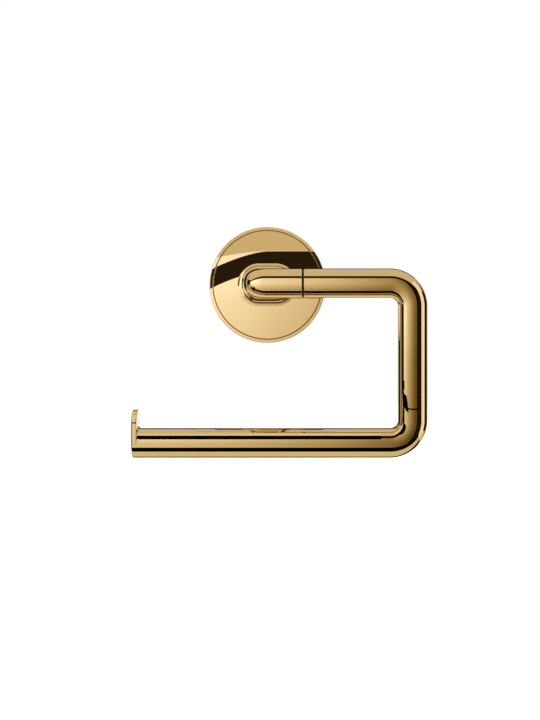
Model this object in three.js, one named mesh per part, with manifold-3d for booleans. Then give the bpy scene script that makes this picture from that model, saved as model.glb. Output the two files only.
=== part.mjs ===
// Wall-mounted toilet paper holder with an open, swinging arm.
//
// Frame, in millimetres: the wall is the plane y = 0, the room is on the -Y side,
// +X runs along the arm and +Z is up. The origin is the centre of the rose on the wall.
// The fixed side is a wall bracket, a round rose and a post that ends in an elbow.
// The arm is a bent tube that turns on a spigot in the elbow, about the line along X
// at y = -ARM_PROJECTION, z = 0. It hangs down at rest and swings up into the room.

import * as THREE from "three";
import { mergeVertices } from "three/addons/utils/BufferGeometryUtils.js";
import Module from "manifold-3d";

const wasm = await Module();
wasm.setup();

// ---- Driving dimensions ----

// Rose
const ROSE_RADIUS = 30;
const ROSE_DEPTH = 9;
const ROSE_FACE_WALL = 2;
const ROSE_RIM_WALL = 2.5;
const ROSE_EDGE_CHAMFER = 0.6;
const GROOVE_INSET = 1.6;
const GROOVE_WIDTH = 0.5;
const GROOVE_DEPTH = 0.4;

// Post and elbow
const ARM_PROJECTION = 66;
const POST_BASE_SPREAD = 4.25;
const POST_TOP_SPREAD = 2.6;
const FOOT_FLARE = 4.1;
const FOOT_LIP = 0.4;
const OUTER_CORNER_RADIUS = 9.5;
const INNER_CORNER_RADIUS = 3;
const ELBOW_END = 18.5;

// Arm
const TUBE_RADIUS = 7;
const TUBE_WALL = 1.5;
const BEND_RADIUS = 10.9;
const ARM_REACH = 71.2;
const BAR_DROP = 76;
const BAR_END = -62;

// End stop
const STOP_PLATE_THICKNESS = 2.5;
const STOP_PLATE_RISE = 8.8;
const STOP_FILLET = 1.5;
const STOP_COLLAR_LENGTH = 0.6;
const STOP_PLUG_LENGTH = 9;

// Swivel joint
const JOINT_GAP = 1;
const SPIGOT_RADIUS = 3.5;
const SPIGOT_ROOT_LENGTH = 10;
const SPIGOT_REACH = 29;
const SWIVEL_WASHER_THICKNESS = 0.85;
const SWIVEL_WASHER_INSET = 0.4;
const SLEEVE_WALL = 0.9;
const SLEEVE_LENGTH = 26;
const BUSH_LENGTH = 6;
const STOP_SCREW_RADIUS = 1.5;
const STOP_SCREW_DOG_RADIUS = 1;
const STOP_SCREW_OFFSET = 14;
const STOP_GROOVE_DEPTH = 1.3;
const SWING = Math.PI / 2;
const LOCK_SCREW_RADIUS = 1.5;
const LOCK_SCREW_OFFSET = 2.9;

// Wall fixing
const BRACKET_EDGE_CLEARANCE = 0.7;
const BRACKET_EDGE_GROOVE = 0.8;
const WALL_SCREW_SPREAD = 17;
const WALL_SCREW_RADIUS = 2;
const WALL_SCREW_HEAD_RADIUS = 3.8;
const WALL_SCREW_LENGTH = 30;
const WALL_SCREW_POINT = 5;
const PLUG_RADIUS = 3;
const PLUG_LENGTH = 24;
const PLUG_START = 0.4;

// Screws that hold the post to the rose, and the rose to the bracket
const FOOT_SCREW_SPREAD = 6;
const FOOT_SCREW_RADIUS = 2;
const FOOT_SCREW_HEAD_RADIUS = 3.5;
const FOOT_SCREW_LENGTH = 13;
const FOOT_WASHER_RADIUS = 4;
const FOOT_WASHER_THICKNESS = 0.6;
const SCREW_HEAD_HEIGHT = 2.2;
const HEAD_CLEARANCE = 0.2;
const ROSE_SCREW_RADIUS = 1.5;
const ROSE_SCREW_SETBACK = 0.4;

// Clearances and socket sizes
const FIT = 0.05;
const HOLE_CLEARANCE = 0.2;
const SOCKET_SHARE = 0.55;
const SOCKET_DEPTH = 1.2;

// Facets
const ROUND_SEGMENTS = 72;
const TUBE_SEGMENTS = 32;
const SCREW_SEGMENTS = 20;
const BEND_STEPS = 9;
const CORNER_STEPS = 8;
const FLARE_STEPS = 6;

// ---- Derived sizes ----

const cavityDepth = ROSE_DEPTH - ROSE_FACE_WALL;
const bracketThickness = cavityDepth - FOOT_WASHER_THICKNESS - SCREW_HEAD_HEIGHT - HEAD_CLEARANCE;
const bracketRadius = ROSE_RADIUS - ROSE_RIM_WALL - BRACKET_EDGE_CLEARANCE;
const tubeBore = TUBE_RADIUS - TUBE_WALL;
const tubeStart = ELBOW_END + JOINT_GAP;
const sleeveRadius = tubeBore - 2 * FIT;
const sleeveBore = sleeveRadius - SLEEVE_WALL;
const stopScrewX = tubeStart + STOP_SCREW_OFFSET;
const lockScrewX = ELBOW_END - LOCK_SCREW_OFFSET;
const barTubeEnd = BAR_END + STOP_PLATE_THICKNESS + STOP_FILLET + STOP_COLLAR_LENGTH;

// ---- Materials ----

function metal(color, roughness) {
  return new THREE.MeshStandardMaterial({ color, roughness, metalness: 1 });
}

const polishedGold = metal(0xd9b272, 0.06);
const brass = metal(0xb8964f, 0.35);
const zinc = metal(0x9a9c9e, 0.45);
const steel = metal(0xb9bcc0, 0.3);
const darkSteel = metal(0x3a3a3c, 0.4);
const blackPolymer = new THREE.MeshStandardMaterial({ color: 0x101010, roughness: 0.5 });
const greyNylon = new THREE.MeshStandardMaterial({ color: 0x8f9296, roughness: 0.6 });

// ---- Helpers ----

// Leaves only positions, joins shared corners and drops triangles of no area.
function welded(geometry) {
  geometry.deleteAttribute("normal");
  geometry.deleteAttribute("uv");
  const joined = mergeVertices(geometry);
  const corners = joined.index.array;
  const kept = [];
  for (let i = 0; i < corners.length; i += 3) {
    const [a, b, c] = [corners[i], corners[i + 1], corners[i + 2]];
    if (a !== b && b !== c && c !== a) kept.push(a, b, c);
  }
  joined.setIndex(kept);
  return joined;
}

function toManifold(geometry) {
  const joined = welded(geometry);
  const vertProperties = new Float32Array(joined.attributes.position.array);
  const triVerts = new Uint32Array(joined.index.array);
  return new wasm.Manifold(new wasm.Mesh({ numProp: 3, vertProperties, triVerts }));
}

function fromManifold(solid) {
  const mesh = solid.getMesh();
  const geometry = new THREE.BufferGeometry();
  geometry.setAttribute("position", new THREE.BufferAttribute(mesh.vertProperties, 3));
  geometry.setIndex(new THREE.BufferAttribute(mesh.triVerts, 1));
  return geometry;
}

// Cuts each tool out of the body.
function cut(body, ...tools) {
  const solid = tools.reduce((left, tool) => left.subtract(toManifold(tool)), toManifold(body));
  return fromManifold(solid);
}

function join(first, ...others) {
  const solid = others.reduce((sum, other) => sum.add(toManifold(other)), toManifold(first));
  return fromManifold(solid);
}

// A solid turned about Y from [radius, y] corners, listed anticlockwise.
function turned(corners, segments) {
  const profile = corners.map(([radius, y]) => new THREE.Vector2(radius, y));
  return new THREE.LatheGeometry(profile, segments);
}

// A ring about Y closes its profile on itself.
function turnedRing(corners, segments) {
  return turned([...corners, corners[0]], segments);
}

function rod(radius, low, high, segments) {
  return turned([[0, low], [radius, low], [radius, high], [0, high]], segments);
}

function ring(outer, inner, low, high, segments) {
  return turnedRing([[outer, low], [outer, high], [inner, high], [inner, low]], segments);
}

// Turns the Y axis of a solid onto the arm axis, so that y becomes x.
function ontoArmAxis(geometry) {
  return geometry.rotateZ(-Math.PI / 2).translate(0, -ARM_PROJECTION, 0);
}

// Joins a list of rings, each a list of [x, y, z], and closes both ends with a fan.
function lofted(rings, firstCentre, lastCentre) {
  const count = rings[0].length;
  const positions = [...rings.flat(2), ...firstCentre, ...lastCentre];
  const first = rings.length * count;
  const last = first + 1;
  const end = (rings.length - 1) * count;
  const index = [];
  for (let i = 0; i < count; i += 1) {
    const next = (i + 1) % count;
    for (let r = 0; r < rings.length - 1; r += 1) {
      const near = r * count;
      const far = near + count;
      index.push(near + i, near + next, far + i, near + next, far + next, far + i);
    }
    index.push(first, next, i, last, end + i, end + next);
  }
  const geometry = new THREE.BufferGeometry();
  geometry.setAttribute("position", new THREE.Float32BufferAttribute(positions, 3));
  geometry.setIndex(index);
  return geometry;
}

// A path through chosen stations, so that straight runs need no extra steps.
class StationPath extends THREE.Curve {
  constructor(stations) {
    super();
    this.stations = stations;
  }

  stationAt(share) {
    return this.stations[Math.round(share * (this.stations.length - 1))];
  }

  getPointAt(share, target = new THREE.Vector3()) {
    return target.copy(this.stationAt(share).point);
  }

  getTangentAt(share, target = new THREE.Vector3()) {
    return target.copy(this.stationAt(share).tangent);
  }
}

function part(name, geometry, material) {
  const mesh = new THREE.Mesh(welded(geometry), material);
  mesh.name = name;
  return mesh;
}

// ---- Screws ----

function socket(radius, top, depth) {
  const hex = new THREE.CylinderGeometry(radius, radius, 2 * depth, 6);
  return hex.translate(0, top, 0);
}

// A headed screw on the Y axis: its head rises from y = 0 to +y, its shank goes to -y.
function headedScrew(headRadius, shankRadius, shankLength, pointLength) {
  const rim = SCREW_HEAD_HEIGHT * 0.3;
  const body = turned([
    [0, -shankLength],
    [shankRadius * 0.3, -shankLength],
    [shankRadius, -shankLength + pointLength],
    [shankRadius, 0],
    [headRadius, 0],
    [headRadius, SCREW_HEAD_HEIGHT - rim],
    [headRadius - rim, SCREW_HEAD_HEIGHT],
    [0, SCREW_HEAD_HEIGHT],
  ], SCREW_SEGMENTS);
  return cut(body, socket(headRadius * SOCKET_SHARE, SCREW_HEAD_HEIGHT, SOCKET_DEPTH));
}

// A headless screw on the Y axis: its socket is at y = 0 and its tip at -length.
function headlessScrew(radius, length, tipRadius, tipLength) {
  const shoulder = -length + tipLength;
  const body = turned([
    [0, -length],
    [tipRadius, -length],
    [tipRadius, shoulder],
    [radius, shoulder],
    [radius, 0],
    [0, 0],
  ], SCREW_SEGMENTS);
  return cut(body, socket(radius * SOCKET_SHARE, 0, SOCKET_DEPTH));
}

// ---- Wall fixing ----

function wallBracket() {
  const edge = bracketRadius;
  const groove = bracketRadius - BRACKET_EDGE_GROOVE;
  const front = -bracketThickness;
  const plate = turned([
    [0, front],
    [edge, front],
    [edge, front / 2 - BRACKET_EDGE_GROOVE],
    [groove, front / 2],
    [edge, front / 2 + BRACKET_EDGE_GROOVE],
    [edge, 0],
    [0, 0],
  ], ROUND_SEGMENTS);
  const holes = [-1, 1].map((side) => {
    const hole = rod(WALL_SCREW_RADIUS + HOLE_CLEARANCE, front - 1, 1, SCREW_SEGMENTS);
    return hole.translate(side * WALL_SCREW_SPREAD, 0, 0);
  });
  return cut(plate, ...holes);
}

function wallScrew(side) {
  const length = bracketThickness + WALL_SCREW_LENGTH;
  const screw = headedScrew(WALL_SCREW_HEAD_RADIUS, WALL_SCREW_RADIUS, length, WALL_SCREW_POINT);
  return screw.rotateX(Math.PI).translate(side * WALL_SCREW_SPREAD, -bracketThickness, 0);
}

function wallPlug(side) {
  const end = PLUG_START + PLUG_LENGTH;
  const sleeve = ring(PLUG_RADIUS, WALL_SCREW_RADIUS + FIT, PLUG_START, end, SCREW_SEGMENTS);
  return sleeve.translate(side * WALL_SCREW_SPREAD, 0, 0);
}

// ---- Rose ----

function roseCover() {
  const front = -ROSE_DEPTH;
  const inner = ROSE_RADIUS - ROSE_RIM_WALL;
  const groove = ROSE_RADIUS - GROOVE_INSET;
  const cup = turned([
    [0, front],
    [groove - GROOVE_WIDTH, front],
    [groove - GROOVE_WIDTH, front + GROOVE_DEPTH],
    [groove, front + GROOVE_DEPTH],
    [groove, front],
    [ROSE_RADIUS - ROSE_EDGE_CHAMFER, front],
    [ROSE_RADIUS, front + ROSE_EDGE_CHAMFER],
    [ROSE_RADIUS, 0],
    [inner, 0],
    [inner, -cavityDepth],
    [0, -cavityDepth],
  ], ROUND_SEGMENTS);
  const footHoles = [-1, 1].map((side) => {
    const hole = rod(FOOT_SCREW_RADIUS + HOLE_CLEARANCE, front - 1, 0, SCREW_SEGMENTS);
    return hole.translate(side * FOOT_SCREW_SPREAD, 0, 0);
  });
  const rimHole = rod(ROSE_SCREW_RADIUS + FIT, inner - 2, ROSE_RADIUS + 2, SCREW_SEGMENTS);
  rimHole.rotateX(-Math.PI / 2).translate(0, -bracketThickness / 2, 0);
  return cut(cup, ...footHoles, rimHole);
}

// The screw points up at the bracket's edge groove, from the underside of the rose.
function roseGrubScrew() {
  const top = ROSE_RADIUS - ROSE_SCREW_SETBACK;
  const tip = bracketRadius - BRACKET_EDGE_GROOVE / 4;
  const screw = headlessScrew(ROSE_SCREW_RADIUS, top - tip, ROSE_SCREW_RADIUS * 0.3, 0.5);
  return screw.rotateX(-Math.PI / 2).translate(0, -bracketThickness / 2, -top);
}

function footScrew(side) {
  const screw = headedScrew(FOOT_SCREW_HEAD_RADIUS, FOOT_SCREW_RADIUS, FOOT_SCREW_LENGTH, 1);
  const seat = -cavityDepth + FOOT_WASHER_THICKNESS;
  return screw.translate(side * FOOT_SCREW_SPREAD, seat, 0);
}

function footWasher(side) {
  const low = -cavityDepth;
  const bore = FOOT_SCREW_RADIUS + HOLE_CLEARANCE;
  const washer = ring(FOOT_WASHER_RADIUS, bore, low, low + FOOT_WASHER_THICKNESS, SCREW_SEGMENTS);
  return washer.translate(side * FOOT_SCREW_SPREAD, 0, 0);
}

// ---- Post and elbow ----

// The section's corners as [outward, up]: a circle whose two halves stand apart by a
// spread on each side, which makes an oblong. grow adds the same width all round.
function oblong(spread, grow) {
  const corners = [];
  for (let i = 0; i < TUBE_SEGMENTS; i += 1) {
    const angle = (2 * Math.PI * i) / TUBE_SEGMENTS;
    const across = Math.cos(angle);
    const side = Math.abs(across) < 1e-9 ? 0 : Math.sign(across);
    const radius = TUBE_RADIUS + grow;
    corners.push([side * spread + radius * across, radius * Math.sin(angle)]);
  }
  return corners;
}

// The rings of the rounded corner, from the arm's direction to the post's.
function cornerRings() {
  const arm = oblong(0, 0);
  const post = oblong(POST_TOP_SPREAD, 0);
  const middle = (OUTER_CORNER_RADIUS + INNER_CORNER_RADIUS) / 2;
  const half = (OUTER_CORNER_RADIUS - INNER_CORNER_RADIUS) / 2;
  const rings = [];
  for (let step = 0; step <= CORNER_STEPS; step += 1) {
    const turn = (Math.PI / 2) * (step / CORNER_STEPS);
    rings.push(arm.map(([outward, up], i) => {
      const radius = middle + (half * outward) / TUBE_RADIUS;
      const x = -post[i][0] + radius * (1 - Math.sin(turn));
      const y = -ARM_PROJECTION - outward + radius * (1 - Math.cos(turn));
      return [x, y, up];
    }));
  }
  return rings;
}

function postElbow() {
  const armRing = oblong(0, 0).map(([outward, up]) => [ELBOW_END, -ARM_PROJECTION - outward, up]);
  const onPost = (y, spread, grow) => oblong(spread, grow).map(([out, up]) => [-out, y, up]);
  const face = -ROSE_DEPTH;
  const rings = [armRing, ...cornerRings()];
  for (let step = 0; step <= FLARE_STEPS; step += 1) {
    const turn = (Math.PI / 2) * (step / FLARE_STEPS);
    const y = face - FOOT_LIP - FOOT_FLARE * (1 - Math.sin(turn));
    rings.push(onPost(y, POST_BASE_SPREAD, FOOT_FLARE * (1 - Math.cos(turn))));
  }
  rings.push(onPost(face, POST_BASE_SPREAD, FOOT_FLARE));
  const body = lofted(rings, [ELBOW_END, -ARM_PROJECTION, 0], [0, face, 0]);

  const boreStart = ELBOW_END - SPIGOT_ROOT_LENGTH;
  const spigotBore = ontoArmAxis(rod(SPIGOT_RADIUS + FIT, boreStart, ELBOW_END + 1, TUBE_SEGMENTS));
  const lockHole = rod(LOCK_SCREW_RADIUS + FIT, 0, TUBE_RADIUS + 1, SCREW_SEGMENTS);
  lockHole.translate(lockScrewX, -ARM_PROJECTION, 0);
  const screwEnd = -cavityDepth + FOOT_WASHER_THICKNESS - FOOT_SCREW_LENGTH;
  const footHoles = [-1, 1].map((side) => {
    const hole = rod(FOOT_SCREW_RADIUS + FIT, screwEnd - 1, face + 1, SCREW_SEGMENTS);
    return hole.translate(side * FOOT_SCREW_SPREAD, 0, 0);
  });
  return cut(body, spigotBore, lockHole, ...footHoles);
}

// ---- Swivel joint ----

// The slot round the spigot that the stop screw's dog runs in: it spans the swing,
// from the wall side (+Y) at rest to the underside (-Z), and the dog's own width.
function stopGroove() {
  const floor = SPIGOT_RADIUS - STOP_GROOVE_DEPTH;
  const width = 2 * (STOP_SCREW_DOG_RADIUS + HOLE_CLEARANCE);
  const margin = Math.asin((STOP_SCREW_DOG_RADIUS + HOLE_CLEARANCE) / floor);
  const shape = new THREE.Shape();
  shape.absarc(0, 0, SPIGOT_RADIUS + 1, -SWING - margin, margin, false);
  shape.absarc(0, 0, floor, margin, -SWING - margin, true);
  shape.closePath();
  const sector = new THREE.ExtrudeGeometry(shape, { depth: width, bevelEnabled: false });
  sector.rotateX(Math.PI / 2).rotateZ(Math.PI / 2);
  return sector.translate(stopScrewX - width / 2, -ARM_PROJECTION, 0);
}

function pivotSpigot() {
  const start = ELBOW_END - SPIGOT_ROOT_LENGTH + 2 * FIT;
  const end = tubeStart + SPIGOT_REACH;
  const nose = 0.8;
  const shaft = turned([
    [0, start],
    [SPIGOT_RADIUS, start],
    [SPIGOT_RADIUS, end - nose],
    [SPIGOT_RADIUS - nose, end],
    [0, end],
  ], TUBE_SEGMENTS);
  const lockSeat = rod(LOCK_SCREW_RADIUS + FIT, SPIGOT_RADIUS - 0.6, SPIGOT_RADIUS + 1, SCREW_SEGMENTS);
  lockSeat.translate(lockScrewX, -ARM_PROJECTION, 0);
  return cut(ontoArmAxis(shaft), stopGroove(), lockSeat);
}

// Holds the spigot from the wall side of the elbow.
function spigotLockScrew() {
  const top = TUBE_RADIUS - 0.5;
  const tip = SPIGOT_RADIUS - 0.5;
  const screw = headlessScrew(LOCK_SCREW_RADIUS, top - tip, LOCK_SCREW_RADIUS * 0.7, 0.4);
  return screw.translate(lockScrewX, -ARM_PROJECTION + top, 0);
}

function swivelWasher() {
  const outer = TUBE_RADIUS - SWIVEL_WASHER_INSET;
  const end = ELBOW_END + SWIVEL_WASHER_THICKNESS;
  return ontoArmAxis(ring(outer, SPIGOT_RADIUS + FIT, ELBOW_END, end, TUBE_SEGMENTS));
}

// A hole across the arm for the stop screw, from the wall side.
function stopScrewHole(radius) {
  const hole = rod(radius, 0, TUBE_RADIUS + 1, SCREW_SEGMENTS);
  return hole.translate(stopScrewX, -ARM_PROJECTION, 0);
}

function pivotSleeve() {
  const end = tubeStart + SLEEVE_LENGTH;
  const sleeve = ring(sleeveRadius, sleeveBore, tubeStart, end, TUBE_SEGMENTS);
  return cut(ontoArmAxis(sleeve), stopScrewHole(STOP_SCREW_RADIUS + FIT));
}

function pivotBush(start) {
  const outer = sleeveBore - 2 * FIT;
  return ontoArmAxis(ring(outer, SPIGOT_RADIUS + FIT, start, start + BUSH_LENGTH, TUBE_SEGMENTS));
}

function swingStopScrew() {
  const top = TUBE_RADIUS - 0.5;
  const tip = SPIGOT_RADIUS - STOP_GROOVE_DEPTH + HOLE_CLEARANCE;
  const dogLength = SPIGOT_RADIUS - tip + HOLE_CLEARANCE;
  const screw = headlessScrew(STOP_SCREW_RADIUS, top - tip, STOP_SCREW_DOG_RADIUS, dogLength);
  return screw.translate(stopScrewX, -ARM_PROJECTION + top, 0);
}

// ---- Arm ----

// The arm's centre line: right along X, down, and back left under the elbow.
function armPath() {
  const point = (x, z) => new THREE.Vector3(x, -ARM_PROJECTION, z);
  const stations = [{ point: point(tubeStart, 0), tangent: new THREE.Vector3(1, 0, 0) }];
  const bends = [
    { centre: [ARM_REACH - BEND_RADIUS, -BEND_RADIUS], start: Math.PI / 2 },
    { centre: [ARM_REACH - BEND_RADIUS, -BAR_DROP + BEND_RADIUS], start: 0 },
  ];
  for (const { centre, start } of bends) {
    for (let step = 0; step <= BEND_STEPS; step += 1) {
      const angle = start - (Math.PI / 2) * (step / BEND_STEPS);
      const x = centre[0] + BEND_RADIUS * Math.cos(angle);
      const z = centre[1] + BEND_RADIUS * Math.sin(angle);
      const tangent = new THREE.Vector3(Math.sin(angle), 0, -Math.cos(angle));
      stations.push({ point: point(x, z), tangent });
    }
  }
  stations.push({ point: point(barTubeEnd, -BAR_DROP), tangent: new THREE.Vector3(-1, 0, 0) });
  return stations;
}

function armTube() {
  const section = new THREE.Shape();
  section.absarc(0, 0, TUBE_RADIUS, 0, 2 * Math.PI, false);
  const bore = new THREE.Path();
  bore.absarc(0, 0, tubeBore, 0, 2 * Math.PI, true);
  section.holes.push(bore);
  const stations = armPath();
  const tube = new THREE.ExtrudeGeometry(section, {
    steps: stations.length - 1,
    curveSegments: TUBE_SEGMENTS / 2,
    extrudePath: new StationPath(stations),
  });
  return cut(tube, stopScrewHole(STOP_SCREW_RADIUS + FIT));
}

// ---- End stop ----

// A plate at the bar's open end that rises above it, with a filleted collar that
// carries on the bar and a plug that sits in the tube.
function endStop() {
  const outline = new THREE.Shape();
  outline.absarc(0, STOP_PLATE_RISE, TUBE_RADIUS, 0, Math.PI, false);
  outline.absarc(0, 0, TUBE_RADIUS, Math.PI, 2 * Math.PI, false);
  outline.closePath();
  const plate = new THREE.ExtrudeGeometry(outline, {
    depth: STOP_PLATE_THICKNESS,
    bevelEnabled: false,
    curveSegments: TUBE_SEGMENTS / 2,
  });
  plate.rotateX(Math.PI / 2).rotateZ(Math.PI / 2).translate(BAR_END, -ARM_PROJECTION, -BAR_DROP);

  const inside = BAR_END + STOP_PLATE_THICKNESS;
  const plugRadius = tubeBore - 2 * FIT;
  const stem = turned([
    [0, BAR_END + STOP_PLATE_THICKNESS / 2],
    [TUBE_RADIUS, BAR_END + STOP_PLATE_THICKNESS / 2],
    [TUBE_RADIUS, barTubeEnd],
    [plugRadius, barTubeEnd],
    [plugRadius, barTubeEnd + STOP_PLUG_LENGTH],
    [0, barTubeEnd + STOP_PLUG_LENGTH],
  ], TUBE_SEGMENTS);
  ontoArmAxis(stem).translate(0, 0, -BAR_DROP);

  // The fillet stands on the bar's top only, within the plate's width.
  const fillet = new THREE.Shape();
  fillet.moveTo(-STOP_FILLET, -STOP_FILLET);
  fillet.lineTo(STOP_FILLET, -STOP_FILLET);
  fillet.lineTo(STOP_FILLET, 0);
  fillet.absarc(STOP_FILLET, STOP_FILLET, STOP_FILLET, -Math.PI / 2, -Math.PI, true);
  fillet.lineTo(-STOP_FILLET, STOP_FILLET);
  fillet.closePath();
  const width = TUBE_RADIUS;
  const wedge = new THREE.ExtrudeGeometry(fillet, { depth: width, bevelEnabled: false, curveSegments: 5 });
  wedge.rotateX(Math.PI / 2).translate(inside, -ARM_PROJECTION + width / 2, -BAR_DROP + TUBE_RADIUS);
  return join(plate, stem, wedge);
}

// ---- Assembly ----

const holder = new THREE.Group();

const fixedSide = new THREE.Group();
fixedSide.add(part("wall_bracket", wallBracket(), zinc));
fixedSide.add(part("rose_cover", roseCover(), polishedGold));
fixedSide.add(part("rose_grub_screw", roseGrubScrew(), darkSteel));
fixedSide.add(part("post_elbow", postElbow(), polishedGold));
fixedSide.add(part("pivot_spigot", pivotSpigot(), steel));
fixedSide.add(part("spigot_lock_screw", spigotLockScrew(), darkSteel));
fixedSide.add(part("swivel_washer", swivelWasher(), blackPolymer));
for (const [side, where] of [[-1, "left"], [1, "right"]]) {
  fixedSide.add(part(`wall_screw_${where}`, wallScrew(side), steel));
  fixedSide.add(part(`wall_plug_${where}`, wallPlug(side), greyNylon));
  fixedSide.add(part(`foot_screw_${where}`, footScrew(side), steel));
  fixedSide.add(part(`foot_washer_${where}`, footWasher(side), steel));
}
holder.add(fixedSide);

const swingingSide = new THREE.Group();
swingingSide.add(part("arm_tube", armTube(), polishedGold));
swingingSide.add(part("pivot_sleeve", pivotSleeve(), brass));
swingingSide.add(part("pivot_bush_near", pivotBush(tubeStart), blackPolymer));
swingingSide.add(part("pivot_bush_far", pivotBush(tubeStart + SLEEVE_LENGTH - BUSH_LENGTH), blackPolymer));
swingingSide.add(part("swing_stop_screw", swingStopScrew(), darkSteel));
swingingSide.add(part("end_stop", endStop(), polishedGold));
holder.add(swingingSide);

export default holder;
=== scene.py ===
"""Wall-mounted toilet paper holder in polished gold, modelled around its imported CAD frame.

Lengths are in metres. The wall is the plane y = 0, the room is on the -Y side, +X runs along
the arm and +Z is up. Sizes come from the frame or from the properties below.
"""

import math

import bmesh
import bpy
from mathutils import Matrix, Vector


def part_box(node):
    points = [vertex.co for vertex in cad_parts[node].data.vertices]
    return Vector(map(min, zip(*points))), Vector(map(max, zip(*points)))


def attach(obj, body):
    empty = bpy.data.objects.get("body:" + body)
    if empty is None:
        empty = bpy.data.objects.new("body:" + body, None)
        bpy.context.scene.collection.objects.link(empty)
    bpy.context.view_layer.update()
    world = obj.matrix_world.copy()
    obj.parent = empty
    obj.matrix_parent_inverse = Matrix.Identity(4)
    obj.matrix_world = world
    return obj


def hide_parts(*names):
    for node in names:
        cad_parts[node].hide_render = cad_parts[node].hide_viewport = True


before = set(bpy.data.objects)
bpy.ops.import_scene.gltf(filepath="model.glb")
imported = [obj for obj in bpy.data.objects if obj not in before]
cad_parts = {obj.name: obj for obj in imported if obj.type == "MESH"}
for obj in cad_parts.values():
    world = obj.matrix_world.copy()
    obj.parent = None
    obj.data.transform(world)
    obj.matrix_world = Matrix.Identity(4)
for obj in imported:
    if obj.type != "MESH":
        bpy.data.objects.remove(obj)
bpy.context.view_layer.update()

bl_info = {
    "name": "Toilet Paper Holder",
    "version": (1, 0, 0),
    "blender": (4, 5, 0),
    "location": "3D View > Sidebar > Holder",
    "description": "Builds a wall-mounted toilet paper holder and its studio",
    "category": "Object",
}

MM = 0.001
TINY = 1e-6
QUARTER = math.pi / 2
FIXED = "fixed_side"
SWINGING = "swinging_arm"
PRESS_FIT = 0.05 * MM
RUNNING_FIT = 0.1 * MM
GROOVE_ROUND = 0.08 * MM
FOOT_SCREW_HOLE = 2.2 * MM
FOOT_SCREW_BORE = 2.05 * MM
WALL_SCREW_HOLE = 2.25 * MM


def low(node):
    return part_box(node)[0]


def high(node):
    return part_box(node)[1]


def middle(node):
    return (low(node) + high(node)) / 2


# The arm and the bar are one tube. The arm's axis runs along X at height 0.
TUBE_RADIUS = (high("arm_tube").y - low("arm_tube").y) / 2
ARM_Y = middle("arm_tube").y
BAR_Z = low("arm_tube").z + TUBE_RADIUS
LEG_X = high("arm_tube").x - TUBE_RADIUS
BAR_OPEN_END = low("arm_tube").x


# ---- Sizes and finishes ----

def length(name, description, default):
    """A length that a user may change."""
    return bpy.props.FloatProperty(name=name, description=description, default=default,
                                   unit="LENGTH", subtype="DISTANCE")


def colour(name, description, default):
    """A linear surface colour."""
    return bpy.props.FloatVectorProperty(name=name, description=description, default=default,
                                         subtype="COLOR", size=3, min=0, max=1)


class HolderSizes(bpy.types.PropertyGroup):
    """Sizes of the holder's visible pieces"""
    rose_radius: length("Rose radius", "Outer radius of the rose", high("rose_cover").x)
    rose_depth: length("Rose depth", "From the wall to the rose's face", -low("rose_cover").y)
    rim_wall: length("Rim wall", "Thickness of the rose's rim", 2.5 * MM)
    face_wall: length("Face wall", "Thickness of the rose's face", 2 * MM)
    rim_round: length("Rim rounding", "Rounding of the rose's front edge", 0.35 * MM)
    groove_inset: length("Groove inset", "From the rose's edge to its groove", 1.6 * MM)
    groove_width: length("Groove width", "Width of the rose's groove", 0.5 * MM)
    groove_depth: length("Groove depth", "Depth of the rose's groove", 0.4 * MM)
    post_spread_top: length("Post spread, top", "Half of the post's flat at the elbow", 2.6 * MM)
    post_spread_base: length("Post spread, base", "Half of the post's flat at its foot", 4.25 * MM)
    foot_flare: length("Foot flare", "How far the foot spreads beyond the post", 4.1 * MM)
    foot_rise: length("Foot rise", "How far the foot's hollow runs up the post", 5.6 * MM)
    foot_lip: length("Foot lip", "Height of the foot's edge", 0.4 * MM)
    outer_corner: length("Outer corner", "Rounding of the elbow's outside", 9.5 * MM)
    inner_corner: length("Inner corner", "Rounding of the elbow's inside", 3 * MM)
    spigot_depth: length("Spigot depth", "Depth of the spigot's seat in the elbow", 10 * MM)
    joint_gap: length("Joint gap", "Gap between the elbow and the arm", 1 * MM)
    bend_radius: length("Bend radius", "Centre-line radius of the arm's bends", 10.9 * MM)
    tube_wall: length("Tube wall", "Wall of the arm tube", 1.5 * MM)
    stop_collar: length("Stop collar", "Length of the end stop's round collar", 0.6 * MM)
    stop_fillet: length("Stop fillet", "Fillet between the bar and its end stop", 1.5 * MM)
    stop_inner_round: length("Stop inner rounding", "Rounding of the plate's inner edge", 0.4 * MM)
    stop_outer_round: length("Stop outer rounding", "Rounding of the plate's outer edge", 0.6 * MM)
    edge_break: length("Edge break", "Rounding of a sharp turned edge", 0.15 * MM)
    small_screw_radius: length("Small screw radius", "Radius of the M3 screws", 1.5 * MM)
    thread_pitch: length("Thread pitch", "Pitch of the wall screws' thread", 1.8 * MM)


class HolderFinish(bpy.types.PropertyGroup):
    """Colours of the holder's finishes, and the painted shade inside the rose's groove"""
    gold: colour("Gold", "Polished gold plating", (0.93, 0.70, 0.38))
    brass: colour("Brass", "Bare turned brass", (0.72, 0.53, 0.26))
    zinc: colour("Zinc", "Die-cast zinc alloy", (0.46, 0.47, 0.48))
    steel: colour("Steel", "Bright steel", (0.62, 0.62, 0.63))
    black_steel: colour("Black steel", "Black-oxide steel", (0.05, 0.05, 0.055))
    acetal: colour("Acetal", "Black acetal", (0.005, 0.005, 0.005))
    nylon: colour("Nylon", "Grey nylon", (0.27, 0.28, 0.29))
    # Groove: dark brown painted shade for the inside of the rose's groove, not a finish of the
    # metal.
    groove: colour("Groove", "Unpolished inside of the rose's groove", (0.42, 0.20, 0.085))


def sizes():
    return bpy.context.scene.holder_sizes


def finish():
    return bpy.context.scene.holder_finish


# ---- Modelling steps ----

def only(piece):
    """Makes the piece the only selected object, in object mode."""
    if bpy.context.object and bpy.context.object.mode != "OBJECT":
        bpy.ops.object.mode_set(mode="OBJECT")
    bpy.ops.object.select_all(action="DESELECT")
    if piece:
        piece.select_set(True)
        bpy.context.view_layer.objects.active = piece


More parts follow.
